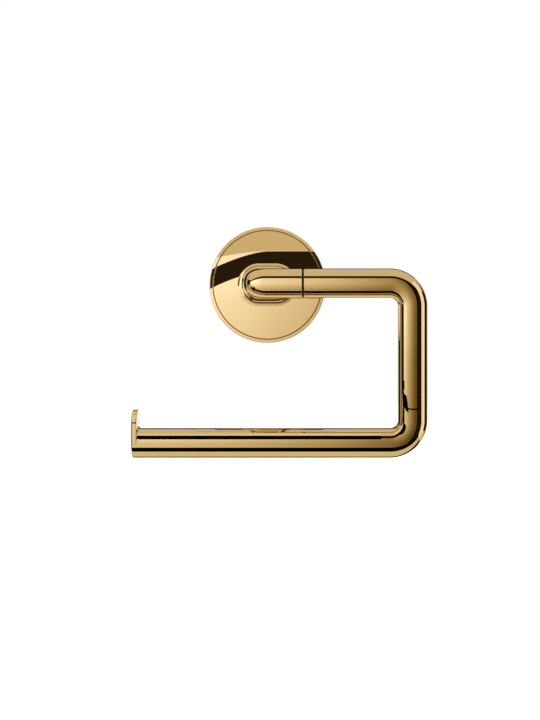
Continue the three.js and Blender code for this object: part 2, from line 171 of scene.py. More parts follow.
def edit(piece):
    only(piece)
    bpy.ops.object.mode_set(mode="EDIT")
    bpy.ops.mesh.select_mode(type="VERT")
    bpy.ops.mesh.select_all(action="SELECT")


def done_editing():
    bpy.ops.object.mode_set(mode="OBJECT")
    return bpy.context.object


def named(name):
    """Names the new primitive and brings its place into its mesh."""
    bpy.ops.object.transform_apply(location=True, rotation=True, scale=True)
    piece = bpy.context.object
    piece.name = name
    piece.data.name = name
    return piece


def start_ring(name, facing, centre, radius, corners, fill="NGON"):
    """Starts a piece as a circle that faces along an axis, with all of it selected."""
    turn = {"X": (0, QUARTER, 0), "Y": (QUARTER, 0, 0), "Z": (0, 0, 0)}[facing]
    only(None)
    bpy.ops.mesh.primitive_circle_add(vertices=corners, radius=radius, fill_type=fill,
                                      location=centre, rotation=turn)
    piece = named(name)
    edit(piece)
    return piece


def block(name, low_corner, high_corner):
    """A block between two corners, used as a cutter."""
    size = Vector(high_corner) - Vector(low_corner)
    only(None)
    bpy.ops.mesh.primitive_cube_add(size=1, scale=size,
                                    location=(Vector(low_corner) + Vector(high_corner)) / 2)
    return named(name)


def extrude(x=0.0, y=0.0, z=0.0):
    """Extrudes the selected ring, and leaves the new one selected."""
    bpy.ops.mesh.extrude_region_move(TRANSFORM_OT_translate={"value": (x, y, z)})


def shift(x=0.0, y=0.0, z=0.0):
    bpy.ops.transform.translate(value=(x, y, z))


def grow(factors, centre):
    bpy.ops.transform.resize(value=factors, center_override=tuple(centre))


def selected_ring():
    mesh = bmesh.from_edit_mesh(bpy.context.object.data)
    return {vertex.index for vertex in mesh.verts if vertex.select}


def select_in(ring, test=lambda co: True):
    """Selects the ring's vertices whose place passes the test."""
    mesh = bmesh.from_edit_mesh(bpy.context.object.data)
    bpy.ops.mesh.select_all(action="DESELECT")
    for vertex in mesh.verts:
        vertex.select = vertex.index in ring and test(vertex.co)
    mesh.select_flush_mode()
    bmesh.update_edit_mesh(bpy.context.object.data)


def run_through(facing, centre, start, stations):
    """Takes the selected ring through (place, radius) stations along an axis."""
    axis = "XYZ".index(facing)
    place, radius = start
    for next_place, next_radius in stations:
        move = [0.0, 0.0, 0.0]
        move[axis] = next_place - place
        extrude(*move)
        if next_radius != radius:
            factors = [next_radius / radius] * 3
            factors[axis] = 1
            grow(factors, centre)
        place, radius = next_place, next_radius


def turned(name, facing, centre, stations, corners=96, fill="NGON"):
    """Turns a piece from (place along the axis, radius) stations."""
    axis = "XYZ".index(facing)
    start = list(centre)
    start[axis] = stations[0][0]
    start_ring(name, facing, start, stations[0][1], corners, fill)
    run_through(facing, centre, stations[0], stations[1:])
    piece = done_editing()
    face_outward(piece)
    return piece


def face_outward(piece):
    edit(piece)
    bpy.ops.mesh.remove_doubles(threshold=1e-7)
    bpy.ops.mesh.normals_make_consistent(inside=False)
    done_editing()


def apply_modifiers(piece):
    only(piece)
    for modifier in list(piece.modifiers):
        bpy.ops.object.modifier_apply(modifier=modifier.name)


def round_edges(piece, radius_of, segments):
    """Rounds edges; radius_of gives each edge's radius from its two ends, or 0."""
    mesh = piece.data
    radii = []
    for edge in mesh.edges:
        first, second = (mesh.vertices[index].co for index in edge.vertices)
        radii.append(radius_of(first, second))
    widest = max(radii)
    weights = mesh.attributes.new("bevel_weight_edge", "FLOAT", "EDGE")
    for edge in mesh.edges:
        weights.data[edge.index].value = radii[edge.index] / widest
    bevel = piece.modifiers.new("rounding", "BEVEL")
    bevel.limit_method = "WEIGHT"
    bevel.width = widest
    bevel.segments = segments
    apply_modifiers(piece)


def break_edges(piece, width, segments=2):
    """Takes the sharpness off every edge that turns by more than 40 degrees."""
    bevel = piece.modifiers.new("edge_break", "BEVEL")
    bevel.limit_method = "ANGLE"
    bevel.angle_limit = math.radians(40)
    bevel.width = width
    bevel.segments = segments
    apply_modifiers(piece)


def give_wall(piece, thickness):
    wall = piece.modifiers.new("wall", "SOLIDIFY")
    wall.thickness = thickness
    wall.offset = -1
    wall.use_even_offset = True
    apply_modifiers(piece)


def cut_with(piece, tool):
    """Takes the tool's solid out of the piece, and throws the tool away."""
    cut = piece.modifiers.new("cut", "BOOLEAN")
    cut.operation = "DIFFERENCE"
    cut.solver = "EXACT"
    cut.object = tool
    apply_modifiers(piece)
    bpy.data.objects.remove(tool, do_unlink=True)


def drill(piece, facing, centre, start, end, radius, corners=48):
    """Bores a hole along an axis between two places on it."""
    cut_with(piece, turned("drill", facing, centre, [(start, radius), (end, radius)], corners))


def shade(piece, degrees=28):
    """Smooths the curved surfaces, and keeps the flats between them flat."""
    only(piece)
    bpy.ops.object.shade_smooth_by_angle(angle=math.radians(degrees))
    flats = piece.modifiers.new("flats", "WEIGHTED_NORMAL")
    flats.keep_sharp = True
    apply_modifiers(piece)


def twin_of(piece, name, shift_x):
    """A copy with its own mesh, moved along X."""
    twin = piece.copy()
    twin.data = piece.data.copy()
    twin.name = name
    twin.data.name = name
    twin.data.transform(Matrix.Translation((shift_x, 0, 0)))
    bpy.context.collection.objects.link(twin)
    return twin


def arc(steps):
    """Angles from just after 0 to a quarter turn."""
    return [QUARTER * step / steps for step in range(1, steps + 1)]


# ---- Finishes ----

def new_material(name, base, metallic, roughness):
    material = bpy.data.materials.new(name)
    material.use_nodes = True
    shader = material.node_tree.nodes["Principled BSDF"]
    shader.inputs["Base Color"].default_value = (*base, 1)
    shader.inputs["Metallic"].default_value = metallic
    shader.inputs["Roughness"].default_value = roughness
    return material, shader


def noise(tree, feature, detail=3, stretch=(1, 1, 1)):
    """Noise on Object coordinates, with features about that many metres across."""
    where = tree.nodes.new("ShaderNodeTexCoord")
    mapping = tree.nodes.new("ShaderNodeMapping")
    mapping.inputs["Scale"].default_value = stretch
    pattern = tree.nodes.new("ShaderNodeTexNoise")
    pattern.inputs["Scale"].default_value = 1 / feature
    pattern.inputs["Detail"].default_value = detail
    tree.links.new(where.outputs["Object"], mapping.inputs["Vector"])
    tree.links.new(mapping.outputs["Vector"], pattern.inputs["Vector"])
    return pattern.outputs["Fac"]


def vary_roughness(tree, shader, pattern, lowest, highest):
    ranged = tree.nodes.new("ShaderNodeMapRange")
    ranged.inputs["From Min"].default_value = 0.3
    ranged.inputs["From Max"].default_value = 0.7
    ranged.inputs["To Min"].default_value = lowest
    ranged.inputs["To Max"].default_value = highest
    tree.links.new(pattern, ranged.inputs["Value"])
    tree.links.new(ranged.outputs["Result"], shader.inputs["Roughness"])


def vary_colour(tree, shader, pattern, base, spread):
    """Runs the base colour from darker to lighter by a share of itself."""
    ramp = tree.nodes.new("ShaderNodeValToRGB")
    dark, light = ramp.color_ramp.elements
    dark.position, light.position = 0.3, 0.7
    dark.color = (*(channel * (1 - spread) for channel in base), 1)
    light.color = (*(min(1, channel * (1 + spread)) for channel in base), 1)
    tree.links.new(pattern, ramp.inputs["Fac"])
    tree.links.new(ramp.outputs["Color"], shader.inputs["Base Color"])


def add_relief(tree, shader, pattern, height):
    bump = tree.nodes.new("ShaderNodeBump")
    bump.inputs["Distance"].default_value = height
    tree.links.new(pattern, bump.inputs["Height"])
    tree.links.new(bump.outputs["Normal"], shader.inputs["Normal"])


def worked(name, base, metallic, roughness, grain, spread, relief, stretch=(1, 1, 1)):
    """A worked surface: fine grain in gloss and relief, broad drift in colour."""
    material, shader = new_material(name, base, metallic, roughness[0])
    tree = material.node_tree
    fine = noise(tree, grain, 4, stretch)
    vary_roughness(tree, shader, fine, *roughness)
    vary_colour(tree, shader, noise(tree, grain * 12), base, spread)
    add_relief(tree, shader, fine, relief)
    return material


def polished_gold():
    """Mirror polish with cloudy wiping marks in its gloss and a trace of buffing relief."""
    base = tuple(finish().gold)
    material, shader = new_material("polished_gold", base, 1, 0.04)
    tree = material.node_tree
    vary_roughness(tree, shader, noise(tree, 14 * MM), 0.006, 0.02)
    vary_colour(tree, shader, noise(tree, 30 * MM, 2), base, 0.012)
    add_relief(tree, shader, noise(tree, 9 * MM, 1), 0.0008 * MM)
    return material


def turned_brass():
    """Bare brass with fine turning lines round the arm's axis."""
    return worked("turned_brass", tuple(finish().brass), 1, (0.22, 0.38), 0.4 * MM, 0.08,
                  0.01 * MM, (6, 1, 1))


def cast_zinc():
    return worked("cast_zinc", tuple(finish().zinc), 1, (0.34, 0.56), 0.5 * MM, 0.1, 0.03 * MM)


def bright_steel():
    return worked("bright_steel", tuple(finish().steel), 1, (0.16, 0.32), 0.35 * MM, 0.07,
                  0.008 * MM)


def black_oxide():
    return worked("black_oxide", tuple(finish().black_steel), 0.8, (0.28, 0.45), 0.3 * MM, 0.25,
                  0.01 * MM)


def black_acetal():
    material = worked("black_acetal", tuple(finish().acetal), 0, (0.35, 0.55), 0.4 * MM, 0.3,
                      0.01 * MM)
    shader = material.node_tree.nodes["Principled BSDF"]
    shader.inputs["Specular IOR Level"].default_value = 0.15
    return material


def grey_nylon():
    return worked("grey_nylon", tuple(finish().nylon), 0, (0.4, 0.6), 0.6 * MM, 0.06, 0.02 * MM)


def groove_painted_shade():
    """Painted shade inside the rose's groove: a dark brown colour with a dull gloss."""
    material, shader = new_material("groove_painted_shade", tuple(finish().groove), 0.4, 0.5)
    tree = material.node_tree
    vary_roughness(tree, shader, noise(tree, 1.5 * MM), 0.4, 0.6)
    return material


FINISHES = {
    "polished_gold": polished_gold,
    "raw_brass": turned_brass,
    "zinc": cast_zinc,
    "steel": bright_steel,
    "dark_steel": black_oxide,
    "black_polymer": black_acetal,
    "grey_nylon": grey_nylon,
}
made_finishes = {}


def dress(piece, slot):
    """Gives the piece its finish, which is made once and shared."""
    if slot not in made_finishes:
        made_finishes[slot] = FINISHES[slot]()
    piece.data.materials.clear()
    piece.data.materials.append(made_finishes[slot])


def hand_over(piece, body, slot, node):
    """Dresses a finished piece, sets it on its body and lets it stand for its CAD node."""
    shade(piece)
    dress(piece, slot)
    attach(piece, body)
    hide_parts(node)


# ---- Pieces ----

class HOLDER_OT_rose(bpy.types.Operator):
    """Turn the rose: a cup with a rounded rim and a fine groove, drilled for its screws"""
    bl_idname = "holder.rose"
    bl_label = "Rose"

    def execute(self, context):
        s = sizes()
        edge = s.rose_radius
        face = -s.rose_depth
        cup = edge - s.rim_wall
        groove_outer = edge - s.groove_inset
        groove_inner = groove_outer - s.groove_width
        groove_floor = face + s.groove_depth
        rose = turned("rose", "Y", (0, 0, 0), [
            (face + s.face_wall, cup), (0, cup), (0, edge), (face, edge), (face, groove_outer),
            (groove_floor, groove_outer), (groove_floor, groove_inner), (face, groove_inner),
        ], corners=256)

        def rounding(first, second):
            radius = math.hypot(first.x, first.z)
            other_radius = math.hypot(second.x, second.z)
            if abs(first.y - second.y) > TINY or abs(radius - other_radius) > TINY:
                return 0
            if radius > edge - TINY:
                return s.rim_round if first.y < -TINY else s.edge_break
            on_face = first.y < groove_floor - TINY
            return GROOVE_ROUND if on_face and radius > groove_inner - TINY else 0

        round_edges(rose, rounding, 8)
        screw = middle("rose_grub_screw")
        clearance = s.small_screw_radius + RUNNING_FIT
        drill(rose, "Z", (0, screw.y, 0), -edge - 2 * MM, 2 * MM - cup, clearance)
        for side in ("left", "right"):
            hole = middle(f"foot_screw_{side}")
            drill(rose, "Y", (hole.x, 0, 0), face - 2 * MM, face + 4 * MM,
                  FOOT_SCREW_HOLE)
        hand_over(rose, FIXED, "polished_gold", "rose_cover")
        # The groove's floor and walls get a second material whose dark brown colour is painted
        # shade in the recess.
        rose.data.materials.append(groove_painted_shade())
        reach = 0.05 * MM
        for polygon in rose.data.polygons:
            radius = math.hypot(polygon.center.x, polygon.center.z)
            in_groove = groove_inner - reach < radius < groove_outer + reach
            if in_groove and face + reach < polygon.center.y < groove_floor + TINY:
                polygon.material_index = 1
        return {"FINISHED"}


class HOLDER_OT_post(bpy.types.Operator):
    """Shape the post: a bored elbow, an oblong shaft and a hollow-curved foot"""
    bl_idname = "holder.post"
    bl_label = "Post and elbow"

    def execute(self, context):
        s = sizes()
        mouth = high("post_elbow").x
        seat = (high("pivot_spigot").z - low("pivot_spigot").z) / 2 + PRESS_FIT
        start_ring("post", "X", (mouth - s.spigot_depth, ARM_Y, 0), seat, 128)
        edge = [(mouth - s.edge_break * (1 - math.cos(angle)),
                 TUBE_RADIUS - s.edge_break * (1 - math.sin(angle))) for angle in [0, *arc(3)]]
        run_through("X", (0, ARM_Y, 0), (mouth - s.spigot_depth, seat), [(mouth, seat), *edge])
        self.turn_the_corner(s)
        self.run_to_the_wall(s)
        post = done_editing()
        post.data.attributes.remove(post.data.attributes["outward"])
        face_outward(post)
        lock = middle("spigot_lock_screw")
        drill(post, "Y", (lock.x, 0, 0), ARM_Y + seat - 1 * MM, ARM_Y + TUBE_RADIUS + 2 * MM,
              s.small_screw_radius + PRESS_FIT)
        for side in ("left", "right"):
            hole = middle(f"foot_screw_{side}")
            drill(post, "Y", (hole.x, 0, 0), low(f"foot_screw_{side}").y - 1 * MM, 2 * MM,
                  FOOT_SCREW_BORE)
        hand_over(post, FIXED, "polished_gold", "post_elbow")
        return {"FINISHED"}

    def turn_the_corner(self, s, steps=24):
        """Sweeps the round arm into the oblong post; each line turns on its own radius."""
        mean = (s.outer_corner + s.inner_corner) / 2
        swing = (s.outer_corner - s.inner_corner) / 2
        mesh = bmesh.from_edit_mesh(bpy.context.object.data)
        outward = mesh.verts.layers.float.new("outward")
        for vertex in mesh.verts:
            vertex[outward] = (ARM_Y - vertex.co.y) if vertex.select else 0
        for angle in [0, *arc(steps)]:
            extrude()
            mesh = bmesh.from_edit_mesh(bpy.context.object.data)
            outward = mesh.verts.layers.float["outward"]
            for vertex in mesh.verts:
                if vertex.select:
                    off = vertex[outward]
                    radius = mean + swing * off / TUBE_RADIUS
                    flat = math.copysign(s.post_spread_top, off) if abs(off) > TINY else 0
                    vertex.co.x = radius * (1 - math.sin(angle)) - off - flat
                    vertex.co.y = ARM_Y - off + radius * (1 - math.cos(angle))
            bmesh.update_edit_mesh(bpy.context.object.data)

    def run_to_the_wall(self, s):
        """Runs the oblong to the foot, hollows the foot outwards and ends on the rose's face."""
        straight = ARM_Y + TUBE_RADIUS + s.inner_corner + 1 * MM
        lip = -s.rose_depth - s.foot_lip
        edge = 0.3 * MM
        hollow = s.foot_flare - edge
        extrude()
        grow((1, 0, 1), (0, straight, 0))
        extrude(y=2 * MM)
        extrude(y=lip - s.foot_rise - straight - 2 * MM)
        ring = selected_ring()
        for side in (-1, 1):
            select_in(ring, lambda co: co.x * side > TINY)
            shift(x=side * (s.post_spread_base - s.post_spread_top))
        select_in(ring)
        self.y, self.radius = lip - s.foot_rise, TUBE_RADIUS
        for angle in arc(16):
            self.widen(s, lip - s.foot_rise * (1 - math.sin(angle)),
                       TUBE_RADIUS + hollow * (1 - math.cos(angle)))
        for angle in arc(3):
            self.widen(s, lip + edge * (1 - math.cos(angle)),
                       TUBE_RADIUS + hollow + edge * math.sin(angle))
        extrude(y=s.foot_lip - edge)

    def widen(self, s, y, radius):
        """Extrudes the oblong to a new place and end radius."""
        extrude(y=y - self.y)
        ring = selected_ring()
        factor = radius / self.radius
        for side in (-1, 1):
            select_in(ring, lambda co: co.x * side > TINY)
            grow((factor, 1, factor), (side * s.post_spread_base, y, 0))
        select_in(ring, lambda co: abs(co.x) < TINY)
        grow((1, 1, factor), (0, y, 0))
        select_in(ring)
        self.y, self.radius = y, radius


class HOLDER_OT_arm(bpy.types.Operator):
    """Bend the arm tube: out from the elbow, down, and back as the bar"""
    bl_idname = "holder.arm"
    bl_label = "Arm and bar"

    def execute(self, context):
        s = sizes()
        mouth = high("post_elbow").x + s.joint_gap
        bend_x = LEG_X - s.bend_radius
        start_ring("arm", "X", (mouth, ARM_Y, 0), TUBE_RADIUS, 128, fill="NOTHING")
        extrude(x=bend_x - mouth)
        self.bend((bend_x, ARM_Y, -s.bend_radius))
        extrude(z=BAR_Z + 2 * s.bend_radius)
        self.bend((bend_x, ARM_Y, BAR_Z + s.bend_radius))
        extrude(x=BAR_OPEN_END - bend_x)
        arm = done_editing()
        face_outward(arm)
        give_wall(arm, s.tube_wall)

        def rounding(first, second):
            off_axis = [math.hypot(co.y - ARM_Y, co.z) for co in (first, second)]
            at_mouth = abs(first.x - mouth) < TINY and abs(second.x - mouth) < TINY
            return s.edge_break if at_mouth and abs(off_axis[0] - off_axis[1]) < TINY else 0

        round_edges(arm, rounding, 4)
        screw = middle("swing_stop_screw")
        drill(arm, "Y", (screw.x, 0, 0), ARM_Y + TUBE_RADIUS - 2 * s.tube_wall,
              ARM_Y + TUBE_RADIUS + 2 * MM, s.small_screw_radius + PRESS_FIT)
        hand_over(arm, SWINGING, "polished_gold", "arm_tube")
        return {"FINISHED"}

    def bend(self, centre):
        bpy.ops.mesh.spin(steps=32, angle=-QUARTER, center=centre, axis=(0, 1, 0))


class HOLDER_OT_end_stop(bpy.types.Operator):
    """Form the end stop: a plug, a collar and a raised plate that grow from the bar"""
    bl_idname = "holder.end_stop"
    bl_label = "End stop"

    def execute(self, context):
        s = sizes()
        tip = high("end_stop").x
        outer_face = low("end_stop").x
        rise = high("end_stop").z - low("end_stop").z - 2 * TUBE_RADIUS
        plug = TUBE_RADIUS - s.tube_wall - PRESS_FIT
        axis = (0, ARM_Y, BAR_Z)
        start_ring("stop_plate", "X", (tip, ARM_Y, BAR_Z), plug - 0.5 * MM, 128)
        run_through("X", axis, (tip, plug - 0.5 * MM),
                    [(tip - 0.5 * MM, plug), (BAR_OPEN_END, plug), (BAR_OPEN_END, TUBE_RADIUS)])
        self.x, self.rise = BAR_OPEN_END, 0.0
        self.upper, self.lower = TUBE_RADIUS, TUBE_RADIUS
        x = BAR_OPEN_END - s.stop_collar
        self.step(x, 0, TUBE_RADIUS, TUBE_RADIUS)
        for angle in arc(8):
            self.step(x - s.stop_fillet * math.sin(angle), s.stop_fillet * (1 - math.cos(angle)),
                      TUBE_RADIUS, TUBE_RADIUS)
        x -= s.stop_fillet
        small = TUBE_RADIUS - s.stop_inner_round
        self.step(x, rise, small, TUBE_RADIUS)
        for angle in arc(5):
            self.step(x - s.stop_inner_round * (1 - math.cos(angle)), rise,
                      small + s.stop_inner_round * math.sin(angle), TUBE_RADIUS)
        x = outer_face + s.stop_outer_round
        self.step(x, rise, TUBE_RADIUS, TUBE_RADIUS)
        for angle in arc(6):
            radius = TUBE_RADIUS - s.stop_outer_round * (1 - math.cos(angle))
            self.step(x - s.stop_outer_round * math.sin(angle), rise, radius, radius)
        stop = done_editing()
        face_outward(stop)
        hand_over(stop, SWINGING, "polished_gold", "end_stop")
        return {"FINISHED"}

    def step(self, x, rise, upper, lower):
        """Extrudes to a new place, lifts the upper half and gives each half its radius."""
        extrude(x=x - self.x)
        ring = selected_ring()
        halves = ((True, upper / self.upper, self.rise), (False, lower / self.lower, 0.0))
        for is_upper, factor, lift in halves:
            select_in(ring, lambda co: (co.z > BAR_Z + TINY) == is_upper)
            if factor != 1:
                grow((1, factor, factor), (x, ARM_Y, BAR_Z + lift))
            if is_upper and rise != self.rise:
                shift(z=rise - self.rise)
        select_in(ring)
        self.x, self.rise, self.upper, self.lower = x, rise, upper, lower


class HOLDER_OT_washer(bpy.types.Operator):
    """Turn the black thrust washer that shows as a ring between elbow and arm"""
    bl_idname = "holder.washer"
    bl_label = "Swivel washer"

    def execute(self, context):
        start, end = low("swivel_washer").x, high("swivel_washer").x
        radius = (high("swivel_washer").z - low("swivel_washer").z) / 2
        bore = (high("pivot_spigot").z - low("pivot_spigot").z) / 2 + RUNNING_FIT
        washer = turned("washer", "X", (0, ARM_Y, 0), [(start, radius), (end, radius)], 128,
                        fill="NOTHING")
        give_wall(washer, radius - bore)
        break_edges(washer, 0.12 * MM)
        hand_over(washer, FIXED, "black_polymer", "swivel_washer")
        return {"FINISHED"}


class HOLDER_OT_small_screws(bpy.types.Operator):
    """Turn the three headless M3 screws, each with a hex socket and a pointed tip"""
    bl_idname = "holder.small_screws"
    bl_label = "Small screws"

    def execute(self, context):
        rose_screw, lock, stop = "rose_grub_screw", "spigot_lock_screw", "swing_stop_screw"
        self.headless("rose_screw", rose_screw, "Z", low(rose_screw).z, high(rose_screw).z, 0.6,
                      FIXED)
        self.headless("lock_screw", lock, "Y", high(lock).y, low(lock).y, 0.6, FIXED)
        self.headless("stop_screw", stop, "Y", high(stop).y, low(stop).y, 1, SWINGING)
        return {"FINISHED"}

    def headless(self, name, node, facing, top, tip, tip_radius, body):
        """A threaded body from its socketed top to its tip, with rolled thread ridges."""
        radius = sizes().small_screw_radius
        root = radius - 0.28 * MM
        way = math.copysign(1, tip - top)
        tip_length = 1.1 * MM
        body_end = abs(tip - top) - tip_length
        stations = [(top, root), (top + way * 0.25 * MM, radius)]
        place = 0.25 * MM
        while place + 0.5 * MM < body_end:
            stations.append((top + way * (place + 0.25 * MM), root))
            stations.append((top + way * (place + 0.5 * MM), radius))
            place += 0.5 * MM
        stations += [(top + way * body_end, root), (tip, min(tip_radius * MM, root))]
        centre = middle(node)
        screw = turned(name, facing, centre, stations, corners=48)
        depth = sorted((top - way * 0.5 * MM, top + way * 1.2 * MM))
        drill(screw, facing, centre, depth[0], depth[1], 0.87 * MM, corners=6)
        hand_over(screw, body, "dark_steel", node)


class HOLDER_OT_wall_fixings(bpy.types.Operator):
    """Make the wall screws, with pan heads and real threads, and their ribbed nylon plugs"""
    bl_idname = "holder.wall_fixings"
    bl_label = "Wall screws and plugs"

    def execute(self, context):
        screw = self.wall_screw(middle("wall_screw_left").x)
        plug = self.plug(middle("wall_plug_left").x)
        gap = middle("wall_screw_right").x - middle("wall_screw_left").x
        other_screw = twin_of(screw, "wall_screw_2", gap)
        other_plug = twin_of(plug, "plug_2", gap)
        hand_over(screw, FIXED, "steel", "wall_screw_left")
        hand_over(other_screw, FIXED, "steel", "wall_screw_right")
        hand_over(plug, FIXED, "grey_nylon", "wall_plug_left")
        hand_over(other_plug, FIXED, "grey_nylon", "wall_plug_right")
        return {"FINISHED"}

    def wall_screw(self, x):
        s = sizes()
        top, point = low("wall_screw_left").y, high("wall_screw_left").y
        head = (high("wall_screw_left").z - low("wall_screw_left").z) / 2
        seat = low("wall_bracket").y
        core = 1.45 * MM
        screw = turned("wall_screw_1", "Y", (x, 0, 0), [
            (top, head * 0.45), (top + 0.2 * MM, head * 0.7), (top + 0.6 * MM, head * 0.9),
            (top + 1.2 * MM, head), (seat, head), (seat, 1.9 * MM), (0.5 * MM, 1.9 * MM),
            (1.2 * MM, core), (point - 5 * MM, core), (point, 0.1 * MM),
        ], corners=64)
        for size in ((1.9, 0.35), (0.35, 1.9)):
            half_x, half_z = (value * MM for value in size)
            cut_with(screw, block("cross", (x - half_x, top - 1 * MM, -half_z),
                                  (x + half_x, top + 1.4 * MM, half_z)))
        thread = self.thread(x, core, s.thread_pitch, 1 * MM, point)
        only(screw)
        thread.select_set(True)
        bpy.ops.object.join()
        return screw

    def thread(self, x, core, pitch, start, point):
        """A triangular ridge wound round the core, which dies away to the point."""
        only(None)
        height = 0.55 * MM
        bpy.ops.mesh.primitive_circle_add(vertices=3, radius=height, fill_type="NGON",
                                          location=(core, 0, 0), rotation=(0, 0, -QUARTER))
        ridge = named("thread")
        ridge.data.transform(Matrix.Scale(0.6, 4, (0, 1, 0)))
        winding = ridge.modifiers.new("winding", "SCREW")
        winding.axis = "Y"
        winding.angle = 2 * math.pi
        winding.screw_offset = pitch
        winding.iterations = int((point - start - 1.5 * MM) / pitch)
        winding.steps = winding.render_steps = 24
        apply_modifiers(ridge)
        face_outward(ridge)
        for vertex in ridge.data.vertices:
            taper = min(1, (point - start - vertex.co.y) / (5 * MM))
            vertex.co.x *= max(0.1, taper)
            vertex.co.z *= max(0.1, taper)
        ridge.data.transform(Matrix.Translation((x, start, 0)))
        return ridge

    def plug(self, x):
        start, end = low("wall_plug_left").y, high("wall_plug_left").y
        radius = (high("wall_plug_left").z - low("wall_plug_left").z) / 2
        stations = [(start, radius), (start + 2 * MM, radius)]
        ribs = 7
        pitch = (end - start - 5 * MM) / ribs
        for rib in range(ribs):
            place = start + 2.5 * MM + rib * pitch
            stations += [(place, radius - 0.45 * MM), (place + 0.75 * pitch, radius - 0.05 * MM)]
        stations += [(end - 2 * MM, radius - 0.45 * MM), (end, radius - 0.6 * MM)]
        plug = turned("plug_1", "Y", (x, 0, 0), stations, 64, fill="NOTHING")
        give_wall(plug, 0.35 * MM)
        for half_x, half_z in ((4, 0.3), (0.3, 4)):
            cut_with(plug, block("slit", (x - half_x * MM, start + 6 * MM, -half_z * MM),
                                 (x + half_x * MM, end - 1 * MM, half_z * MM)))
        return plug


class HOLDER_OT_bracket(bpy.types.Operator):
    """Cast the wall bracket: a grooved disc with screw holes and a relieved back"""
    bl_idname = "holder.bracket"
    bl_label = "Wall bracket"

    def execute(self, context):
        front = low("wall_bracket").y
        edge = high("wall_bracket").x
        groove = 0.8 * MM
        draft = 0.2 * MM
        bracket = turned("bracket", "Y", (0, 0, 0), [
            (-0.6 * MM, 12 * MM), (0, 12.4 * MM), (0, edge - draft), (-draft, edge),
            (front / 2 + groove, edge), (front / 2, edge - groove), (front / 2 - groove, edge),
            (front + draft, edge), (front, edge - draft),
        ], corners=128)
        for side in ("left", "right"):
            x = middle(f"wall_screw_{side}").x
            drill(bracket, "Y", (x, 0, 0), front - 1 * MM, 1 * MM, WALL_SCREW_HOLE)
        for z in (-18 * MM, 18 * MM):
            drill(bracket, "Y", (0, 0, z), front - 1 * MM, 1 * MM, WALL_SCREW_HOLE)
        break_edges(bracket, 0.12 * MM)
        hand_over(bracket, FIXED, "zinc", "wall_bracket")
        return {"FINISHED"}


class HOLDER_OT_hidden_fittings(bpy.types.Operator):
    """Give the enclosed CAD fittings their finishes: spigot, sleeve, bushes, foot screws"""
    bl_idname = "holder.hidden_fittings"
    bl_label = "Hidden fittings"

    def execute(self, context):
        fittings = {
            "steel": ("pivot_spigot", "foot_screw_left", "foot_screw_right", "foot_washer_left",
                      "foot_washer_right"),
            "raw_brass": ("pivot_sleeve",),
            "black_polymer": ("pivot_bush_near", "pivot_bush_far"),
        }
        for slot, nodes in fittings.items():
            for node in nodes:
                dress(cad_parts[node], slot)
        return {"FINISHED"}


# ---- Studio ----

def glow_material(name, radiance):
    strength = max(radiance) or 1
    material = bpy.data.materials.new(name)
    material.use_nodes = True
    tree = material.node_tree
    tree.nodes.clear()
    light = tree.nodes.new("ShaderNodeEmission")
    light.inputs["Color"].default_value = (*(channel / strength for channel in radiance), 1)
    light.inputs["Strength"].default_value = strength
    output = tree.nodes.new("ShaderNodeOutputMaterial")
    tree.links.new(light.outputs["Emission"], output.inputs["Surface"])
    return material


def hang(sheet, radiance):
    """Gives the sheet its glow and hides it from the camera."""
    sheet.data.materials.append(glow_material(sheet.name, radiance))
    sheet.visible_camera = False


def flat_sheet(name, centre, turn, width, height):
    """A flat sheet at its size and place."""
    only(None)
    bpy.ops.mesh.primitive_plane_add(size=1, location=centre, rotation=turn)
    bpy.context.object.scale = (width, height, 1)
    return named(name)


def panel(name, facing, place, across, along, radiance):
    """A soft panel square to an axis, mirrored by the metal and unseen by the camera.

    across and along are its (low, high) reach on the other two axes, in their XYZ order.
    """
    turn = {"X": (0, QUARTER, 0), "Y": (QUARTER, 0, 0), "Z": (0, 0, 0)}[facing]
    axis = "XYZ".index(facing)
    centre = [(across[0] + across[1]) / 2, (along[0] + along[1]) / 2]
    centre.insert(axis, place)
    width, height = across[1] - across[0], along[1] - along[0]
    if facing == "X":
        width, height = height, width
    hang(flat_sheet(name, centre, turn, width, height), radiance)


def glow_one_side(sheet):
    """Keeps the sheet's glow to the side its normal points to, and the other side black."""
    tree = sheet.active_material.node_tree
    light = next(node for node in tree.nodes if node.type == "EMISSION")
    strength = light.inputs["Strength"].default_value
    side = tree.nodes.new("ShaderNodeNewGeometry")
    dim = tree.nodes.new("ShaderNodeMath")
    dim.operation = "MULTIPLY_ADD"
    dim.inputs[1].default_value = -strength
    dim.inputs[2].default_value = strength
    tree.links.new(side.outputs["Backfacing"], dim.inputs[0])
    tree.links.new(dim.outputs["Value"], light.inputs["Strength"])


def near_strip(name, first, second, radiance, reach):
    """A strip along the bar between two (y, z) edges, close enough to draw a line on it.

    It glows upward where it runs towards +Y and downward where it runs towards -Y.
    """
    run = (second[0] - first[0], second[1] - first[1])
    centre = ((reach[0] + reach[1]) / 2, first[0] + run[0] / 2, first[1] + run[1] / 2)
    sheet = flat_sheet(name, centre, (math.atan2(run[1], run[0]), 0, 0), reach[1] - reach[0],
                       math.hypot(*run))
    hang(sheet, radiance)
    glow_one_side(sheet)


